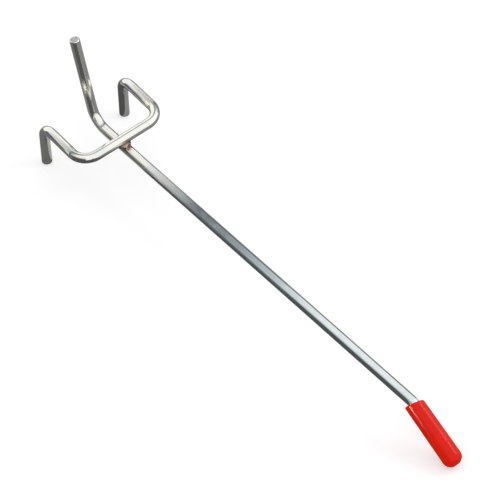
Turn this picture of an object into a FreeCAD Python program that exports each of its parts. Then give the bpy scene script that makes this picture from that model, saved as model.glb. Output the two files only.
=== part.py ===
import FreeCAD, Part
import math
import os

os.makedirs("parts", exist_ok=True)

# Driving sizes, in millimetres and degrees. Z = 0 is the table the hook lies on.
wire_diameter = 5.4
prong_spacing = 50.0
arm_height = 21.3
arm_reach = 223.0
tail_setback = 24.0
tail_length = 53.3
tail_lean = 7.8
tail_bend_radius = 10.0
prong_run = 33.4
prong_rise = 4.2
prong_bend = 87.8
prong_bend_radius = 8.0
corner_bend_radius = 9.0
end_chamfer = 0.5
weld_set_down = 0.5
weld_spread = 4.2
weld_thickness = 2.6
cap_length = 33.4
cap_mouth_offset = 2.2
cap_mouth_clear = 0.4
cap_wall = 2.15
cap_end_wall = 3.6
cap_end_round = 4.2
cap_lip_chamfer = 0.5
cap_clearance = 0.05

# Sizes that follow from the driving ones
wire_radius = wire_diameter / 2
half_spacing = prong_spacing / 2
crossbar_height = arm_height + wire_diameter - weld_set_down
cap_radius = wire_radius + cap_clearance + cap_wall
tip_total = cap_mouth_offset + cap_length
tip_wire_length = tip_total - cap_end_wall
cap_bore_depth = tip_wire_length - cap_mouth_offset

# The tip's bend lets the rounded end of the cap stand on the table
cap_contact_run = tip_total - cap_end_round
cap_contact_side = cap_radius - cap_end_round
cap_contact_arm = math.hypot(cap_contact_run, cap_contact_side)
tip_bend = math.asin((arm_height - cap_end_round) / cap_contact_arm)
tip_bend = tip_bend - math.atan2(cap_contact_side, cap_contact_run)
tip_bend_radius = (cap_mouth_offset - cap_mouth_clear) / math.tan(tip_bend / 2)

# The prongs' drops end on the table, on the rims of their end faces
drop_tilt = math.radians(prong_rise + 90 - prong_bend)
drop_end_height = (wire_radius - end_chamfer) * math.sin(drop_tilt)
rise = math.radians(prong_rise)
prong_corner_y = prong_run * math.cos(rise)
prong_corner_z = crossbar_height + prong_run * math.sin(rise)
drop_length = (prong_corner_z - drop_end_height) / math.cos(drop_tilt)
drop_end_y = prong_corner_y + drop_length * math.sin(drop_tilt)


def vector(x, y, z):
    return FreeCAD.Vector(x, y, z)


# One round wire bent at each corner with its own centre-line radius
def bent_wire(corners, radii):
    pieces = []
    start = corners[0]
    for index in range(1, len(corners) - 1):
        corner = corners[index]
        radius = radii[index - 1]
        back = (corners[index - 1] - corner).normalize()
        ahead = (corners[index + 1] - corner).normalize()
        half_angle = back.getAngle(ahead) / 2
        first = corner + back * (radius / math.tan(half_angle))
        last = corner + ahead * (radius / math.tan(half_angle))
        centre = corner + (back + ahead).normalize() * (radius / math.sin(half_angle))
        turn_axis = ahead.cross(back).normalize()
        pieces.append(disc(start, back).extrude(first - start))
        turn = 180 - math.degrees(2 * half_angle)
        pieces.append(disc(first, back).revolve(centre, turn_axis, turn))
        start = last
    pieces.append(disc(start, corners[-1] - start).extrude(corners[-1] - start))
    solid = pieces[0].multiFuse(pieces[1:]).removeSplitter()
    return chamfered_ends(solid, [corners[0], corners[-1]])


def disc(centre, direction):
    circle = Part.Circle(centre, direction, wire_radius).toShape()
    return Part.Face(Part.Wire(circle))


# The two sheared ends have their rims broken
def chamfered_ends(solid, ends):
    rims = []
    for edge in solid.Edges:
        if not isinstance(edge.Curve, Part.Circle):
            continue
        for end in ends:
            if edge.Curve.Center.distanceToPoint(end) < wire_radius / 100:
                rims.append(edge)
    return solid.makeChamfer(end_chamfer, rims)


# Main wire: tail, arm and bent tip
lean = math.radians(tail_lean)
tail_corner = vector(0, tail_setback, arm_height)
tail_end = tail_corner + vector(0, math.sin(lean), math.cos(lean)) * tail_length
tip_corner = vector(0, -arm_reach, arm_height)
tip_direction = vector(0, -math.cos(tip_bend), -math.sin(tip_bend))
tip_end = tip_corner + tip_direction * tip_wire_length
main_wire = bent_wire([tail_end, tail_corner, tip_corner, tip_end], [tail_bend_radius, tip_bend_radius])

# Cross wire: drop, prong, crossbar, prong, drop, seated on the arm
cross_corners = [
    vector(-half_spacing, drop_end_y, drop_end_height),
    vector(-half_spacing, prong_corner_y, prong_corner_z),
    vector(-half_spacing, 0, crossbar_height),
    vector(half_spacing, 0, crossbar_height),
    vector(half_spacing, prong_corner_y, prong_corner_z),
    vector(half_spacing, drop_end_y, drop_end_height),
]
cross_radii = [prong_bend_radius, corner_bend_radius, corner_bend_radius, prong_bend_radius]
cross_wire = bent_wire(cross_corners, cross_radii).cut(main_wire)

# Weld: a thin lens of upset metal around the crossing, outside both wires
weld_level = arm_height + wire_radius - weld_set_down / 2
weld_half = weld_thickness / 2
lens_radius = (weld_spread ** 2 + weld_half ** 2) / (2 * weld_half)
upper_ball = Part.makeSphere(lens_radius, vector(0, 0, weld_level - lens_radius + weld_half))
lower_ball = Part.makeSphere(lens_radius, vector(0, 0, weld_level + lens_radius - weld_half))
weld_bead = upper_ball.common(lower_ball).cut(main_wire).cut(cross_wire)

# Tip cap: turned profile, mouth at zero, closed end ahead
bore_radius = wire_radius + cap_clearance
end_centre = vector(cap_radius - cap_end_round, 0, cap_length - cap_end_round)
slant = math.sqrt(0.5)
profile = [
    Part.makeLine(vector(0, 0, cap_bore_depth), vector(bore_radius, 0, cap_bore_depth)),
    Part.makeLine(vector(bore_radius, 0, cap_bore_depth), vector(bore_radius, 0, 0)),
    Part.makeLine(vector(bore_radius, 0, 0), vector(cap_radius - cap_lip_chamfer, 0, 0)),
    Part.makeLine(vector(cap_radius - cap_lip_chamfer, 0, 0), vector(cap_radius, 0, cap_lip_chamfer)),
    Part.makeLine(vector(cap_radius, 0, cap_lip_chamfer), vector(cap_radius, 0, cap_length - cap_end_round)),
    Part.Arc(
        vector(cap_radius, 0, cap_length - cap_end_round),
        end_centre + vector(slant, 0, slant) * cap_end_round,
        vector(cap_radius - cap_end_round, 0, cap_length),
    ).toShape(),
    Part.makeLine(vector(cap_radius - cap_end_round, 0, cap_length), vector(0, 0, cap_length)),
    Part.makeLine(vector(0, 0, cap_length), vector(0, 0, cap_bore_depth)),
]
tip_cap = Part.Face(Part.Wire(profile)).revolve(vector(0, 0, 0), vector(0, 0, 1), 360)
if tip_cap.ShapeType != "Solid":
    tip_cap = tip_cap.Solids[0]
tip_cap.rotate(vector(0, 0, 0), vector(1, 0, 0), 90 + math.degrees(tip_bend))
tip_cap.translate(tip_corner + tip_direction * cap_mouth_offset)

# The row's origin is the middle of the footprint on the table
nodes = {"main_wire": main_wire, "cross_wire": cross_wire, "weld_bead": weld_bead, "tip_cap": tip_cap}
whole = Part.makeCompound(list(nodes.values())).optimalBoundingBox(False, False)
shift = -(whole.YMin + whole.YMax) / 2
for name, shape in nodes.items():
    shape.translate(vector(0, shift, 0))
    if len(shape.Solids) != 1 or not shape.isValid():
        raise RuntimeError("node is not one valid solid: " + name)
    shape.Solids[0].exportStep("parts/" + name + ".step")
    box = shape.optimalBoundingBox(False, False)
    corners = (box.XMin, box.YMin, box.ZMin, box.XMax, box.YMax, box.ZMax)
    print(name, round(shape.Volume, 2), [round(value, 3) for value in corners])
print("tip bend", round(math.degrees(tip_bend), 2), "radius", round(tip_bend_radius, 2))
print("drop length", round(drop_length, 2), "shift", round(shift, 4))
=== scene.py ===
import math
import bmesh
import bpy
from mathutils import Matrix, Vector, noise


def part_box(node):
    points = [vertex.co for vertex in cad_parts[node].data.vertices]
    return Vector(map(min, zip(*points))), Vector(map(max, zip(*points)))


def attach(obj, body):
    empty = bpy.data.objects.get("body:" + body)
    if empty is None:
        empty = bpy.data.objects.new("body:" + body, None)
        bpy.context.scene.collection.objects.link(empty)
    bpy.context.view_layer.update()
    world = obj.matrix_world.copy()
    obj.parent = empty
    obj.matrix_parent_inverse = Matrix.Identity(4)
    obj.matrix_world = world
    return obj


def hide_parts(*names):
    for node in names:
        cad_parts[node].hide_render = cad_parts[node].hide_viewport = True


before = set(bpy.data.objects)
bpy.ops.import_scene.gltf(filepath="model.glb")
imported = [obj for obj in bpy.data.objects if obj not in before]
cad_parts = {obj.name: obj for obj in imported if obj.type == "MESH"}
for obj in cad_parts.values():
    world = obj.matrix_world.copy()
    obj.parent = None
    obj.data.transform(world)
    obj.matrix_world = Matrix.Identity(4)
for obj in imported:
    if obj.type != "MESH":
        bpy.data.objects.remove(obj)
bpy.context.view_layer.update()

mm = 0.001

wireForm = {
    "radius": 2.7 * mm,
    "sides": 56,
    "bendStep": math.radians(3),  # turn between two rings of a bend
    "runStep": 4 * mm,  # longest straight stretch between two rings
    "flatten": 0.035,  # share of the section lost at the middle of a bend
    "endRound": 0.5 * mm,
    "endRoundSteps": 4,
    "endRings": (0.80, 0.70, 0.52, 0.30),  # rings of a sheared end, as shares of the radius
    "endRough": 0.10 * mm,  # unevenness of the sheared ends
    "endNoise": 900,  # noise per metre
    "endNoiseStart": Vector((3.1, 7.7, 1.3)),
}
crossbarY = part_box("cross_wire")[0].y + wireForm["radius"]  # middle of the crossbar

mainForm = {
    "armHeight": 21.3 * mm,
    "armReach": 223 * mm,
    "tailSetback": 24 * mm,
    "tailLength": 53.3 * mm,
    "tailLean": math.radians(7.8),
    "tailBend": 10 * mm,
    "tipBend": math.radians(31.71),
    "tipBendRadius": 6.34 * mm,
    "tipLength": 32 * mm,
}

crossForm = {
    "height": 26.2 * mm,
    "halfSpacing": 25 * mm,
    "prongRun": 33.4 * mm,
    "prongRise": math.radians(4.2),
    "dropTilt": math.radians(6.4),
    "dropLength": 28.58 * mm,
    "prongBend": 8 * mm,
    "cornerBend": 9 * mm,
    "seatStep": 0.35 * mm,  # ring spacing over the arm, where the crossbar is pressed onto it
    "seatReach": 4 * mm,
}


def objectFrom(bm, name, node):
    bmesh.ops.recalc_face_normals(bm, faces=bm.faces[:])
    mesh = bpy.data.meshes.new(name)
    bm.to_mesh(mesh)
    bm.free()
    piece = bpy.data.objects.new(name, mesh)
    bpy.context.scene.collection.objects.link(piece)
    mesh.shade_smooth()
    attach(piece, "root")
    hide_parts(node)
    return piece


# One more ring on the end of a tube: the new vertices keep their place round the wire,
# and get the run along it
def nextRing(bm, edges, place, run):
    made = bmesh.ops.extrude_edge_only(bm, edges=edges)["geom"]
    verts = [item for item in made if isinstance(item, bmesh.types.BMVert)]
    fresh = set(verts)
    rim = [item for item in made if isinstance(item, bmesh.types.BMEdge) and fresh.issuperset(item.verts)]
    for vert in verts:
        around = vert[place]
        vert[place] = Vector((around.x, around.y, run))
    return verts, rim


def straightRun(bm, rim, place, run, start, end, step):
    count = max(1, math.ceil((end - start).length / step))
    for index in range(count):
        run = run + (end - start).length / count
        verts, rim = nextRing(bm, rim, place, run)
        bmesh.ops.translate(bm, verts=verts, vec=(end - start) / count)
    return rim, run


# A sheared end: a rounded rim, then an uneven face
def closeEnd(bm, rim, place, run, end, outward):
    radius = wireForm["radius"]
    rounding = wireForm["endRound"]
    steps = wireForm["endRoundSteps"]
    size = radius
    depth = 0
    for index in range(1, steps + 1):
        turn = math.pi / 2 * index / steps
        newSize = radius - rounding * (1 - math.cos(turn))
        newDepth = rounding * math.sin(turn)
        verts, rim = nextRing(bm, rim, place, run)
        centre = end - outward * (rounding - newDepth)
        bmesh.ops.translate(bm, verts=verts, vec=outward * (newDepth - depth))
        bmesh.ops.scale(bm, verts=verts, vec=Vector((1, 1, 1)) * (newSize / size),
                        space=Matrix.Translation(-centre))
        size = newSize
        depth = newDepth
    cutEnd = bm.verts.layers.float["cutEnd"]
    for share in wireForm["endRings"]:
        verts, rim = nextRing(bm, rim, place, run)
        bmesh.ops.scale(bm, verts=verts, vec=Vector((1, 1, 1)) * (radius * share / size),
                        space=Matrix.Translation(-end))
        size = radius * share
        for vert in verts:
            rough = noise.noise(vert.co * wireForm["endNoise"] + wireForm["endNoiseStart"])
            vert.co = vert.co + outward * rough * wireForm["endRough"]
            vert[cutEnd] = 1.0
    bmesh.ops.contextual_create(bm, geom=rim)


# A round wire along straight runs, with a tangent bend at each inner corner
def bentWire(corners, radii, fineRun=None):
    bm = bmesh.new()
    place = bm.verts.layers.float_vector.new("wireSpace")
    bm.verts.layers.float.new("cutEnd")
    radius = wireForm["radius"]
    rounding = wireForm["endRound"]
    outward = (corners[0] - corners[1]).normalized()
    first = corners[0] - outward * rounding
    ring = bmesh.ops.create_circle(bm, segments=wireForm["sides"], radius=radius)["verts"]
    for vert in ring:
        vert[place] = Vector((vert.co.x / radius, vert.co.y / radius, 0))
    turn = (-outward).to_track_quat("Z", "Y").to_matrix().to_4x4()
    bmesh.ops.transform(bm, verts=ring, matrix=Matrix.Translation(first) @ turn)
    firstRim = bm.edges[:]
    rim = firstRim
    run = 0
    start = first
    flattened = []
    for index in range(1, len(corners) - 1):
        corner = corners[index]
        back = (corners[index - 1] - corner).normalized()
        ahead = (corners[index + 1] - corner).normalized()
        halfAngle = back.angle(ahead) / 2
        reach = radii[index - 1] / math.tan(halfAngle)
        centre = corner + (back + ahead).normalized() * (radii[index - 1] / math.sin(halfAngle))
        bendStart = corner + back * reach
        rim, run = straightStretch(bm, rim, place, run, start, bendStart, fineRun, index - 1)
        axis = ahead.cross(back).normalized()
        bend = math.pi - 2 * halfAngle
        steps = math.ceil(bend / wireForm["bendStep"])
        middle = bendStart
        for step in range(1, steps + 1):
            run = run + radii[index - 1] * bend / steps
            verts, rim = nextRing(bm, rim, place, run)
            matrix = Matrix.Rotation(bend / steps, 3, axis)
            bmesh.ops.rotate(bm, verts=verts, cent=centre, matrix=matrix)
            middle = centre + matrix @ (middle - centre)
            amount = wireForm["flatten"] * math.sin(math.pi * step / steps)
            flattened.append((verts, middle.copy(), (middle - centre).normalized(), amount))
        start = corner + ahead * reach
    outwardLast = (corners[-1] - corners[-2]).normalized()
    last = corners[-1] - outwardLast * rounding
    rim, run = straightStretch(bm, rim, place, run, start, last, fineRun, len(corners) - 2)
    for verts, middle, radial, amount in flattened:
        for vert in verts:
            offset = (vert.co - middle).dot(radial)
            vert.co = vert.co - radial * offset * amount
    closeEnd(bm, rim, place, run, corners[-1], outwardLast)
    closeEnd(bm, firstRim, place, 0, corners[0], outward)
    return bm


def straightStretch(bm, rim, place, run, start, end, fineRun, index):
    if fineRun is None or fineRun["index"] != index:
        return straightRun(bm, rim, place, run, start, end, wireForm["runStep"])
    near, far = fineRun["near"], fineRun["far"]
    rim, run = straightRun(bm, rim, place, run, start, near, wireForm["runStep"])
    rim, run = straightRun(bm, rim, place, run, near, far, fineRun["step"])
    return straightRun(bm, rim, place, run, far, end, wireForm["runStep"])


# Main wire: tail, arm and bent tip
tailCorner = Vector((0, crossbarY + mainForm["tailSetback"], mainForm["armHeight"]))
tailDirection = Vector((0, math.sin(mainForm["tailLean"]), math.cos(mainForm["tailLean"])))
tailEnd = tailCorner + tailDirection * mainForm["tailLength"]
tipCorner = Vector((0, crossbarY - mainForm["armReach"], mainForm["armHeight"]))
tipDirection = Vector((0, -math.cos(mainForm["tipBend"]), -math.sin(mainForm["tipBend"])))
tipEnd = tipCorner + tipDirection * mainForm["tipLength"]
mainMesh = bentWire([tailEnd, tailCorner, tipCorner, tipEnd],
                    [mainForm["tailBend"], mainForm["tipBendRadius"]])
mainWire = objectFrom(mainMesh, "mainWire", "main_wire")
print("main wire made")

# Cross wire: drop, prong, crossbar, prong, drop
prongBack = Vector((0, math.cos(crossForm["prongRise"]), math.sin(crossForm["prongRise"])))
dropDown = Vector((0, math.sin(crossForm["dropTilt"]), -math.cos(crossForm["dropTilt"])))
crossCorners = []
for side in (-1, 1):
    barEnd = Vector((side * crossForm["halfSpacing"], crossbarY, crossForm["height"]))
    prongEnd = barEnd + prongBack * crossForm["prongRun"]
    dropEnd = prongEnd + dropDown * crossForm["dropLength"]
    half = [dropEnd, prongEnd, barEnd]
    crossCorners = crossCorners + (half if side < 0 else half[::-1])
seat = {
    "index": 2,
    "near": Vector((-crossForm["seatReach"], crossbarY, crossForm["height"])),
    "far": Vector((crossForm["seatReach"], crossbarY, crossForm["height"])),
    "step": crossForm["seatStep"],
}
halfRadii = [crossForm["prongBend"], crossForm["cornerBend"]]
crossRadii = halfRadii + halfRadii[::-1]
crossMesh = bentWire(crossCorners, crossRadii, seat)

# The underside of the crossbar is pressed onto the arm
for vert in crossMesh.verts:
    across = vert.co.x
    along = vert.co.y - crossbarY
    above = vert.co.z - mainForm["armHeight"]
    if abs(across) < wireForm["radius"] and abs(along) < crossForm["seatReach"] and above > 0:
        armTop = math.sqrt(wireForm["radius"] ** 2 - across ** 2)
        vert.co.z = mainForm["armHeight"] + max(above, armTop)
crossWire = objectFrom(crossMesh, "crossWire", "cross_wire")
print("cross wire made")

weldForm = {
    "spread": 4.0 * mm,
    "thickness": 2.5 * mm,
    "sink": 0.25 * mm,  # how far its middle lies below the top of the arm
    "sides": 64,
    "rings": 40,
    "lump": 0.16,  # unevenness, as a share of the bead's own size
    "lumpScale": 520,  # noise per metre
    "lumpDetail": (0.6, 2.0, 3),  # fall, step and number of the finer noises
}
weldHeight = mainForm["armHeight"] + wireForm["radius"] - weldForm["sink"]
weldPlace = Vector((0, crossbarY, weldHeight))


def weldBead():
    bm = bmesh.new()
    ball = bmesh.ops.create_uvsphere(bm, u_segments=weldForm["sides"], v_segments=weldForm["rings"],
                                     radius=1)["verts"]
    flat = Matrix.Diagonal((weldForm["spread"], weldForm["spread"], weldForm["thickness"] / 2, 1))
    bmesh.ops.transform(bm, verts=ball, matrix=flat)
    for vert in ball:
        lump = noise.fractal(vert.co * weldForm["lumpScale"], *weldForm["lumpDetail"])
        vert.co = vert.co * (1 + lump * weldForm["lump"])
    bmesh.ops.translate(bm, verts=ball, vec=weldPlace)
    return objectFrom(bm, "weldBead", "weld_bead")


weld = weldBead()
print("weld made")

capForm = {
    "mouthOffset": 2.2 * mm,  # from the tip's corner to the cap's mouth
    "length": 33.4 * mm,
    "radius": 4.9 * mm,
    "taper": 0.2 * mm,  # how much the mouth is narrower than the closed end
    "skew": 2.1 * mm,  # how much farther the lip comes up on one side
    "skewFade": 11 * mm,
    "endRound": 4.2 * mm,
    "boreRadius": 2.75 * mm,
    "boreDepth": 6 * mm,
    "lipRound": 0.8 * mm,
    "innerRound": 0.6,  # rounding of the mouth's inner edge, as a share of the lip's
    "lipSteps": 4,
    "wallSteps": 12,
    "domeSteps": 12,
    "sides": 64,
    "mergeDistance": 0.002 * mm,
}


def tipCap():
    bm = bmesh.new()
    form = capForm
    straight = form["length"] - form["endRound"]
    outline = [(form["boreRadius"], form["boreDepth"]), (form["boreRadius"], form["lipRound"])]
    lipSteps = form["lipSteps"]
    innerRound = form["lipRound"] * form["innerRound"]
    for index in range(lipSteps + 1):  # inner edge of the mouth
        turn = math.pi / 2 * index / lipSteps
        outline.append((form["boreRadius"] + innerRound * (1 - math.cos(turn)),
                        innerRound * (1 - math.sin(turn))))
    for index in range(lipSteps + 1):  # outer edge of the mouth
        turn = math.pi / 2 * index / lipSteps
        outline.append((form["radius"] - form["taper"] - form["lipRound"] * (1 - math.sin(turn)),
                        form["lipRound"] * (1 - math.cos(turn))))
    wallSteps = form["wallSteps"]
    for index in range(1, wallSteps + 1):
        share = index / wallSteps
        outline.append((form["radius"] - form["taper"] * (1 - share),
                        form["lipRound"] + (straight - form["lipRound"]) * share))
    domeSteps = form["domeSteps"]
    for index in range(1, domeSteps + 1):
        turn = math.pi / 2 * index / domeSteps
        outline.append((form["radius"] - form["endRound"] * (1 - math.cos(turn)),
                        straight + form["endRound"] * math.sin(turn)))
    verts = [bm.verts.new((radius, 0, along)) for radius, along in outline]
    edges = [bm.edges.new(pair) for pair in zip(verts, verts[1:])]
    bmesh.ops.spin(bm, geom=verts + edges, cent=(0, 0, 0), axis=(0, 0, 1), angle=math.tau,
                   steps=form["sides"], use_merge=True)
    bmesh.ops.remove_doubles(bm, verts=bm.verts[:], dist=form["mergeDistance"])
    bmesh.ops.holes_fill(bm, edges=bm.edges[:], sides=form["sides"])
    turn = tipDirection.to_track_quat("Z", "Y").to_matrix().to_4x4()
    left = turn.inverted() @ Vector((-1, 0, 0))
    for vert in bm.verts:  # the soft mouth is cut a little askew
        side = (1 + Vector((vert.co.x, vert.co.y, 0)).dot(left) / form["radius"]) / 2
        fade = max(0, 1 - vert.co.z / form["skewFade"])
        vert.co.z = vert.co.z - form["skew"] * side * fade
    mouth = tipCorner + tipDirection * form["mouthOffset"]
    bmesh.ops.transform(bm, verts=bm.verts[:], matrix=Matrix.Translation(mouth) @ turn)
    return objectFrom(bm, "tipCap", "tip_cap")


cap = tipCap()
print("cap made")


# Small helpers for node trees
def addNode(tree, kind, settings=None, inputs=None):
    made = tree.nodes.new(kind)
    for key, value in (settings or {}).items():
        setattr(made, key, value)
    for key, value in (inputs or {}).items():
        if isinstance(value, bpy.types.NodeSocket):
            tree.links.new(value, made.inputs[key])
        else:
            made.inputs[key].default_value = value
    return made


def mathNode(tree, operation, first, second=0.0, third=0.0, clamp=False):
    made = addNode(tree, "ShaderNodeMath", {"operation": operation, "use_clamp": clamp},
                   {0: first, 1: second, 2: third})
    return made.outputs[0]


def rangeNode(tree, value, low, high, outLow, outHigh, kind="SMOOTHSTEP"):
    made = addNode(tree, "ShaderNodeMapRange", {"interpolation_type": kind},
                   {"Value": value, "From Min": low, "From Max": high,
                    "To Min": outLow, "To Max": outHigh})
    return made.outputs["Result"]


def mixColour(tree, share, first, second):
    made = addNode(tree, "ShaderNodeMix", {"data_type": "RGBA"}, {0: share, 6: first, 7: second})
    return made.outputs[2]


def noiseNode(tree, vector, scale, detail, rough=0.5):
    made = addNode(tree, "ShaderNodeTexNoise", None,
                   {"Vector": vector, "Scale": scale, "Detail": detail, "Roughness": rough})
    return made.outputs["Fac"]


def newMaterial(name):
    material = bpy.data.materials.new(name)
    material.use_nodes = True
    tree = material.node_tree
    return material, tree, tree.nodes["Principled BSDF"]


# Handling marks shared by the metal and the vinyl: cloudy smudges, fine scuffs and specks of dust
def handlingMarks():
    group = bpy.data.node_groups.new("handlingMarks", "ShaderNodeTree")
    group.interface.new_socket("Vector", in_out="INPUT", socket_type="NodeSocketVector")
    group.interface.new_socket("Smudge Scale", in_out="INPUT", socket_type="NodeSocketFloat")
    group.interface.new_socket("Speck Scale", in_out="INPUT", socket_type="NodeSocketFloat")
    for name in ("Smudge", "Scuff", "Speck"):
        group.interface.new_socket(name, in_out="OUTPUT", socket_type="NodeSocketFloat")
    given = addNode(group, "NodeGroupInput")
    result = addNode(group, "NodeGroupOutput")
    cloud = noiseNode(group, given.outputs["Vector"], given.outputs["Smudge Scale"], 4.0, 0.6)
    smudge = rangeNode(group, cloud, 0.42, 0.68, 0.0, 1.0)
    finer = mathNode(group, "MULTIPLY", given.outputs["Smudge Scale"], 6.0)
    scuffNoise = noiseNode(group, given.outputs["Vector"], finer, 6.0, 0.75)
    scuff = rangeNode(group, scuffNoise, 0.56, 0.70, 0.0, 1.0)
    cells = addNode(group, "ShaderNodeTexVoronoi", {"feature": "F1"},
                    {"Vector": given.outputs["Vector"], "Scale": given.outputs["Speck Scale"]})
    dot = rangeNode(group, cells.outputs["Distance"], 0.06, 0.14, 1.0, 0.0)
    patch = rangeNode(group, cloud, 0.45, 0.60, 0.0, 1.0)
    speck = mathNode(group, "MULTIPLY", dot, patch)
    group.links.new(smudge, result.inputs["Smudge"])
    group.links.new(scuff, result.inputs["Scuff"])
    group.links.new(speck, result.inputs["Speck"])
    return group


marks = handlingMarks()


# Two steps that the three materials share: the handling marks, and the links to the shader
def markedBy(tree, coords, look):
    return addNode(tree, "ShaderNodeGroup", {"node_tree": marks},
                   {"Vector": coords, "Smudge Scale": look["smudgeScale"],
                    "Speck Scale": look["speckScale"]})


def linkSurface(tree, shader, colour, rough, height, look):
    bump = addNode(tree, "ShaderNodeBump", None,
                   {"Strength": look["bump"], "Distance": look["bumpDepth"], "Height": height})
    tree.links.new(colour, shader.inputs["Base Color"])
    tree.links.new(rough, shader.inputs["Roughness"])
    tree.links.new(bump.outputs[0], shader.inputs["Normal"])


zincLook = {
    "bright": (0.78, 0.835, 0.845, 1),
    "milky": (0.66, 0.71, 0.73, 1),
    "warm": (0.95, 0.93, 0.85, 1),
    "cut": (0.42, 0.42, 0.43, 1),
    "heat": (0.16, 0.10, 0.06, 1),
    "heatEdge": (0.46, 0.37, 0.25, 1),
    "roughLow": 0.09,
    "roughHigh": 0.16,
    "streakScale": 6.6,
    "streakStretch": (1.0, 1.0, 9.0),
    "cloudScale": 120.0,
    "spangleScale": 900.0,
    "smudgeScale": 55.0,
    "speckScale": 700.0,
    "headStart": 70 * mm,  # from the crossbar towards the cap, where the warmer plating begins
    "headFull": 8 * mm,
    "heatPlace": Vector((0.8, -3.6, -1)) * mm,  # from the weld to the middle of the heat tint
    "heatScale": 420.0,
    "heatRagged": 5.0 * mm,
    "heatHalo": (2.2 * mm, 5.6 * mm),
    "heatCore": (1.6 * mm, 4.0 * mm),
    "cutScale": 800.0,
    "bump": 0.03,
    "bumpDepth": 0.05 * mm,
}


def zincWire():
    material, tree, shader = newMaterial("zincWire")
    look = zincLook
    around = addNode(tree, "ShaderNodeAttribute", {"attribute_name": "wireSpace"})
    coords = addNode(tree, "ShaderNodeTexCoord").outputs["Object"]
    # drawing lines: fine around the wire, long along it
    stretch = addNode(tree, "ShaderNodeMapping", None,
                      {"Vector": around.outputs["Vector"], "Scale": look["streakStretch"]}).outputs[0]
    streak = noiseNode(tree, stretch, look["streakScale"], 3.0, 0.6)
    cloudy = noiseNode(tree, coords, look["cloudScale"], 4.0, 0.6)
    spangle = noiseNode(tree, coords, look["spangleScale"], 2.0)
    marked = markedBy(tree, coords, look)
    milk = mathNode(tree, "MULTIPLY", rangeNode(tree, cloudy, 0.40, 0.70, 0.0, 1.0), 0.55)
    colour = mixColour(tree, milk, look["bright"], look["milky"])
    streakShade = rangeNode(tree, streak, 0.35, 0.72, 0.0, 0.25)
    colour = mixColour(tree, streakShade, colour, look["milky"])
    # the head has a warmer plating than the arm
    along = addNode(tree, "ShaderNodeSeparateXYZ", None, {0: coords}).outputs["Y"]
    headStart = crossbarY - look["headStart"]
    headShare = rangeNode(tree, along, headStart, crossbarY - look["headFull"], 0.0, 0.95)
    headTint = mathNode(tree, "MULTIPLY", headShare, rangeNode(tree, cloudy, 0.3, 0.62, 0.35, 1.0))
    colour = mixColour(tree, headTint, colour, look["warm"])
    # heat tint round the weld, mostly on the arm in front of the crossbar
    heatPlace = weldPlace + look["heatPlace"]
    weldCoords = addNode(tree, "ShaderNodeMapping", None, {"Vector": coords, "Location": -heatPlace})
    distance = addNode(tree, "ShaderNodeVectorMath", {"operation": "LENGTH"},
                       {0: weldCoords.outputs[0]}).outputs["Value"]
    ragged = noiseNode(tree, coords, look["heatScale"], 5.0, 0.65)
    ragged = mathNode(tree, "MULTIPLY_ADD", ragged, look["heatRagged"], -look["heatRagged"] / 2)
    edge = mathNode(tree, "ADD", distance, ragged)
    halo = rangeNode(tree, edge, *look["heatHalo"], 1.0, 0.0)
    core = rangeNode(tree, edge, *look["heatCore"], 0.70, 0.0)
    colour = mixColour(tree, mathNode(tree, "MULTIPLY", halo, 0.7), colour, look["heatEdge"])
    colour = mixColour(tree, core, colour, look["heat"])
    speck = mathNode(tree, "MULTIPLY", marked.outputs["Speck"], 0.25)
    colour = mixColour(tree, speck, colour, look["milky"])
    cut = addNode(tree, "ShaderNodeAttribute", {"attribute_name": "cutEnd"}).outputs["Fac"]
    torn = rangeNode(tree, noiseNode(tree, coords, look["cutScale"], 4.0, 0.6), 0.3, 0.6, 0.65, 1.0)
    torn = mathNode(tree, "MULTIPLY", cut, torn)
    colour = mixColour(tree, torn, colour, look["cut"])
    rough = rangeNode(tree, streak, 0.3, 0.75, look["roughLow"], look["roughHigh"])
    rough = mathNode(tree, "MULTIPLY_ADD", cut, 0.25, rough)
    rough = mathNode(tree, "MULTIPLY_ADD", marked.outputs["Smudge"], 0.07, rough)
    rough = mathNode(tree, "MULTIPLY_ADD", marked.outputs["Scuff"], 0.05, rough)
    rough = mathNode(tree, "MULTIPLY_ADD", core, 0.28, rough, True)
    height = mathNode(tree, "MULTIPLY_ADD", spangle, 0.12, mathNode(tree, "MULTIPLY", streak, 0.88))
    linkSurface(tree, shader, colour, rough, height, look)
    shader.inputs["Metallic"].default_value = 1.0
    return material


weldLook = {
    "oxide": (0.16, 0.115, 0.08, 1),
    "scale": (0.38, 0.315, 0.25, 1),
    "bare": (0.60, 0.57, 0.52, 1),
    "blotchScale": 700.0,
    "smudgeScale": 260.0,
    "speckScale": 1500.0,
    "bump": 0.5,
    "bumpDepth": 0.12 * mm,
}


def weldMetal():
    material, tree, shader = newMaterial("weldMetal")
    look = weldLook
    coords = addNode(tree, "ShaderNodeTexCoord").outputs["Object"]
    marked = markedBy(tree, coords, look)
    blotch = noiseNode(tree, coords, look["blotchScale"], 5.0, 0.65)
    scaled = rangeNode(tree, blotch, 0.35, 0.65, 0.0, 1.0)
    colour = mixColour(tree, scaled, look["oxide"], look["scale"])
    rubbed = mathNode(tree, "MULTIPLY", marked.outputs["Smudge"], 0.6)
    colour = mixColour(tree, rubbed, colour, look["bare"])
    rough = rangeNode(tree, blotch, 0.3, 0.7, 0.35, 0.62)
    linkSurface(tree, shader, colour, rough, blotch, look)
    shader.inputs["Metallic"].default_value = 0.85
    return material


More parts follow.
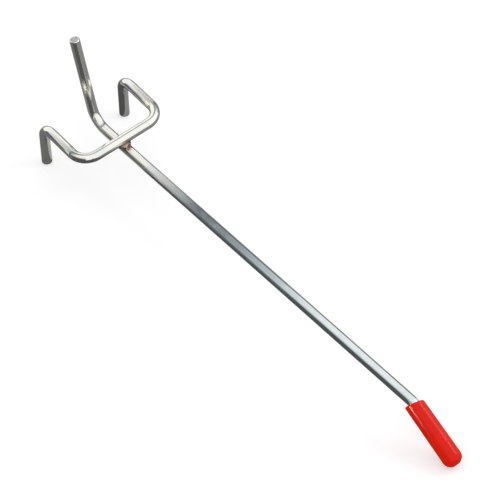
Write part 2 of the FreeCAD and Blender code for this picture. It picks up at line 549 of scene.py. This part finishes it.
vinylLook = {
    "red": (0.78, 0.012, 0.001, 1),
    "deep": (0.70, 0.009, 0.001, 1),
    "light": (0.80, 0.022, 0.006, 1),
    "rough": 0.15,
    "flowScale": 160.0,
    "skinScale": 600.0,
    "smudgeScale": 90.0,
    "speckScale": 900.0,
    "bump": 0.12,
    "bumpDepth": 0.25 * mm,
    "ior": 1.5,
    "specular": 0.18,
    "glow": 0.12,  # share of the light that goes into the vinyl
    "glowRadius": (1.0, 0.25, 0.15),
    "glowDepth": 1.2 * mm,
}


def redVinyl():
    material, tree, shader = newMaterial("redVinyl")
    look = vinylLook
    coords = addNode(tree, "ShaderNodeTexCoord").outputs["Object"]
    marked = markedBy(tree, coords, look)
    flow = noiseNode(tree, coords, look["flowScale"], 1.0, 0.4)
    skin = noiseNode(tree, coords, look["skinScale"], 2.0)
    colour = mixColour(tree, rangeNode(tree, flow, 0.35, 0.7, 0.0, 0.6), look["red"], look["deep"])
    worn = mathNode(tree, "MULTIPLY", marked.outputs["Scuff"], 0.35)
    colour = mixColour(tree, worn, colour, look["light"])
    rough = mathNode(tree, "MULTIPLY_ADD", marked.outputs["Smudge"], 0.06, look["rough"])
    rough = mathNode(tree, "MULTIPLY_ADD", marked.outputs["Scuff"], 0.06, rough)
    height = mathNode(tree, "MULTIPLY_ADD", flow, 0.95, mathNode(tree, "MULTIPLY", skin, 0.05))
    linkSurface(tree, shader, colour, rough, height, look)
    shader.inputs["IOR"].default_value = look["ior"]
    shader.inputs["Specular IOR Level"].default_value = look["specular"]
    shader.inputs["Subsurface Weight"].default_value = look["glow"]
    shader.inputs["Subsurface Radius"].default_value = look["glowRadius"]
    shader.inputs["Subsurface Scale"].default_value = look["glowDepth"]
    return material


zinc = zincWire()
for piece, material in ((mainWire, zinc), (crossWire, zinc), (weld, weldMetal()), (cap, redVinyl())):
    piece.data.materials.append(material)
print("materials made")

studio = {
    "floorSize": 8.0,
    "floorColour": (0.68, 0.68, 0.68, 1),
    "floorLift": 0.405,  # brings the lit floor up to white where it is seen, and leaves the shadow
    "worldLight": 0.88,  # what the world gives to matt surfaces, where white is 1
    "key": {"place": (0.84, -0.47, 0.80), "size": (0.5, 0.5), "power": 2.5},
}

flagForm = {
    "pale": (1.0, 1.0, 1.0, 1),
    "dark": (0.085, 0.087, 0.09, 1),
    "rough": 0.9,
    "specular": 0.1,
    "lift": 0.2 * mm,
    "cards": {  # low and high corner on the floor, and colour
        "darkCard": ((-0.65, -0.75), (-0.022, 0.128), (0.085, 0.087, 0.09, 1)),
        "sideCard": ((-0.65, 0.128), (-0.022, 0.75), (0.17, 0.172, 0.17, 1)),
        "edgeCard": ((-0.022, -0.75), (0.0, 0.105), (0.12, 0.122, 0.125, 1)),
        "headCard": ((-0.022, 0.105), (0.0, 0.75), (0.50, 0.50, 0.485, 1)),
        "greyCard": ((0.0, -0.75), (0.65, 0.128), (0.24, 0.245, 0.25, 1)),
        "dropCard": ((0.0, 0.128), (0.022, 0.75), (0.085, 0.087, 0.09, 1)),
        "backCard": ((0.022, 0.128), (0.65, 0.75), (0.30, 0.305, 0.31, 1)),
    },
    "walls": {  # place along X, from and to along Y, height, and heights between which it turns pale
        "leftWall": (-0.65, -0.60, 1.10, 1.00, (0.12, 0.84)),
        "rightWall": (0.65, 0.05, 0.75, 0.30, (0.06, 0.28)),
    },
    "archRadius": 0.29,
    "archStart": 0.160,
    "archWidth": 0.132,
    "archSteps": 24,
    "archColour": (0.18, 0.19, 0.205, 1),
    "archPale": (0.90, 0.97, 1.0, 1),
    "archNear": (0.262, 0.160),  # places along Y between which it turns to archPale
    "archFar": (0.262, 0.273),  # and to white
    "archFoot": (0.24, 0.075),  # heights between which it turns to the foot's colour
    "archFootColour": (0.17, 0.175, 0.18, 1),
    "shade": [  # corners of a sheet that keeps the bright card off the arm
        (-0.0065, -0.1167, 0.0),
        (-0.092, -0.1073, 0.0),
        (-0.092, -0.1073, 0.064),
        (-0.0065, -0.1167, 0.031),
    ],
    "gleam": {  # a small bright card beside the cap, with its back to the head
        "place": (-0.08, -0.1185, 0.036),
        "size": (0.030, 0.024),
        "turn": math.radians(-41),
        "strength": 21.0,
    },
}


# A sheet of the stage. Each fade is an axis, the two places between which the sheet turns,
# and the colour that it turns to.
def stageSheet(bm, name, colour, fades=(), lift=0.0):
    mesh = bpy.data.meshes.new(name)
    bm.to_mesh(mesh)
    bm.free()
    sheet = bpy.data.objects.new(name, mesh)
    bpy.context.scene.collection.objects.link(sheet)
    material, tree, shader = newMaterial(name)
    shader.inputs["Base Color"].default_value = colour
    shader.inputs["Roughness"].default_value = flagForm["rough"]
    shader.inputs["Specular IOR Level"].default_value = flagForm["specular"]
    if fades:
        coords = addNode(tree, "ShaderNodeTexCoord").outputs["Object"]
        place = addNode(tree, "ShaderNodeSeparateXYZ", None, {0: coords})
        for axis, start, end, other in fades:
            share = rangeNode(tree, place.outputs[axis], start, end, 0.0, 1.0)
            colour = mixColour(tree, share, colour, other)
        tree.links.new(colour, shader.inputs["Base Color"])
    if lift:
        shader.inputs["Emission Color"].default_value = (1, 1, 1, 1)
        seen = seenRays(tree)
        tree.links.new(mathNode(tree, "MULTIPLY", seen, lift), shader.inputs["Emission Strength"])
    mesh.materials.append(material)
    return sheet


# What the camera sees directly, in a mirror or through glass
def seenRays(tree):
    path = addNode(tree, "ShaderNodeLightPath")
    seen = mathNode(tree, "MAXIMUM", path.outputs["Is Camera Ray"], path.outputs["Is Glossy Ray"])
    return mathNode(tree, "MAXIMUM", seen, path.outputs["Is Transmission Ray"])


def flatSheet(width, length, height):
    bm = bmesh.new()
    bmesh.ops.create_grid(bm, x_segments=1, y_segments=1, size=0.5)
    bmesh.ops.scale(bm, verts=bm.verts[:], vec=(width, length, 1))
    bmesh.ops.translate(bm, verts=bm.verts[:], vec=(0, 0, height))
    return bm


stageSheet(flatSheet(studio["floorSize"], studio["floorSize"], 0), "paleFloor",
           studio["floorColour"], lift=studio["floorLift"])


# Flags that only the reflections see, to give the bright wire its dark lines
def floorCard(name, low, high, colour):
    bm = flatSheet(high[0] - low[0], high[1] - low[1], flagForm["lift"])
    bmesh.ops.translate(bm, verts=bm.verts[:], vec=((low[0] + high[0]) / 2, (low[1] + high[1]) / 2, 0))
    return stageSheet(bm, name, colour)


def sideWall(name, across, start, end, height, fade):
    bm = flatSheet(height, end - start, 0)
    bmesh.ops.rotate(bm, verts=bm.verts[:], cent=(0, 0, 0), matrix=Matrix.Rotation(math.pi / 2, 3, "Y"))
    bmesh.ops.translate(bm, verts=bm.verts[:], vec=(across, (start + end) / 2, height / 2))
    return stageSheet(bm, name, flagForm["dark"], [("Z", *fade, flagForm["pale"])])


def greyArch():
    bm = bmesh.new()
    reach = flagForm["archRadius"]
    start = flagForm["archStart"]
    verts = [bm.verts.new((reach, start, mainForm["armHeight"])),
             bm.verts.new((reach, start + flagForm["archWidth"], mainForm["armHeight"]))]
    edge = bm.edges.new(verts)
    bmesh.ops.spin(bm, geom=verts + [edge], cent=(0, start, mainForm["armHeight"]), axis=(0, -1, 0),
                   angle=math.pi, steps=flagForm["archSteps"])
    fades = [
        ("Y", *flagForm["archNear"], flagForm["archPale"]),
        ("Z", *flagForm["archFoot"], flagForm["archFootColour"]),
        ("Y", *flagForm["archFar"], flagForm["pale"]),
    ]
    return stageSheet(bm, "greyArch", flagForm["archColour"], fades)


def gleamShade():
    bm = bmesh.new()
    corners = [bm.verts.new(corner) for corner in flagForm["shade"]]
    bmesh.ops.contextual_create(bm, geom=corners)
    return stageSheet(bm, "gleamShade", flagForm["dark"])


def capGleam():
    form = flagForm["gleam"]
    bm = flatSheet(*form["size"], 0)
    bmesh.ops.rotate(bm, verts=bm.verts[:], cent=(0, 0, 0), matrix=Matrix.Rotation(math.pi / 2, 3, "Y"))
    bmesh.ops.rotate(bm, verts=bm.verts[:], cent=(0, 0, 0), matrix=Matrix.Rotation(form["turn"], 3, "Z"))
    bmesh.ops.translate(bm, verts=bm.verts[:], vec=form["place"])
    sheet = stageSheet(bm, "capGleam", flagForm["pale"])
    tree = sheet.data.materials[0].node_tree
    back = addNode(tree, "ShaderNodeNewGeometry").outputs["Backfacing"]
    shader = tree.nodes["Principled BSDF"]
    shader.inputs["Emission Color"].default_value = (1, 1, 1, 1)
    front = rangeNode(tree, back, 0.0, 1.0, form["strength"], 0.0, "LINEAR")
    tree.links.new(front, shader.inputs["Emission Strength"])
    return sheet


flags = [greyArch(), gleamShade(), capGleam()]
for name, (low, high, colour) in flagForm["cards"].items():
    flags.append(floorCard(name, low, high, colour))
for name, wall in flagForm["walls"].items():
    flags.append(sideWall(name, *wall))
for flag in flags:
    flag.visible_camera = False
    flag.visible_diffuse = False
    flag.visible_transmission = False
    flag.visible_shadow = False


def softLamp(name, place, size, power):
    data = bpy.data.lights.new(name, "AREA")
    data.shape = "RECTANGLE"
    data.size = size[0]
    data.size_y = size[1]
    data.energy = power
    lamp = bpy.data.objects.new(name, data)
    lamp.location = place
    lamp.rotation_euler = (-Vector(place)).to_track_quat("-Z", "Y").to_euler()
    lamp.visible_camera = False
    bpy.context.scene.collection.objects.link(lamp)


softLamp("keyLamp", **studio["key"])

world = bpy.data.worlds.new("whiteStudio")
bpy.context.scene.world = world
world.use_nodes = True
worldTree = world.node_tree
level = rangeNode(worldTree, seenRays(worldTree), 0.0, 1.0, studio["worldLight"], 1.0, "LINEAR")
background = worldTree.nodes["Background"]
background.inputs["Color"].default_value = (1, 1, 1, 1)
worldTree.links.new(level, background.inputs["Strength"])
bpy.context.scene.view_settings.view_transform = "Standard"

cameraForm = {
    "place": (-0.5216, -0.7819, 1.0724),
    "aim": (0.0038, 0.0101, 0.02),
    "roll": math.radians(-6.787),
    "lens": 209.83,
    "sensor": 36,
}
cameraData = bpy.data.cameras.new("camera")
cameraData.lens = cameraForm["lens"]
cameraData.sensor_width = cameraForm["sensor"]
cameraData.sensor_fit = "HORIZONTAL"
camera = bpy.data.objects.new("camera", cameraData)
sight = Vector(cameraForm["aim"]) - Vector(cameraForm["place"])
turn = sight.to_track_quat("-Z", "Y").to_matrix().to_4x4()
roll = Matrix.Rotation(cameraForm["roll"], 4, "Z")
camera.matrix_world = Matrix.Translation(cameraForm["place"]) @ turn @ roll
bpy.context.scene.collection.objects.link(camera)
bpy.context.scene.camera = camera
print("stage, lamps and camera made")
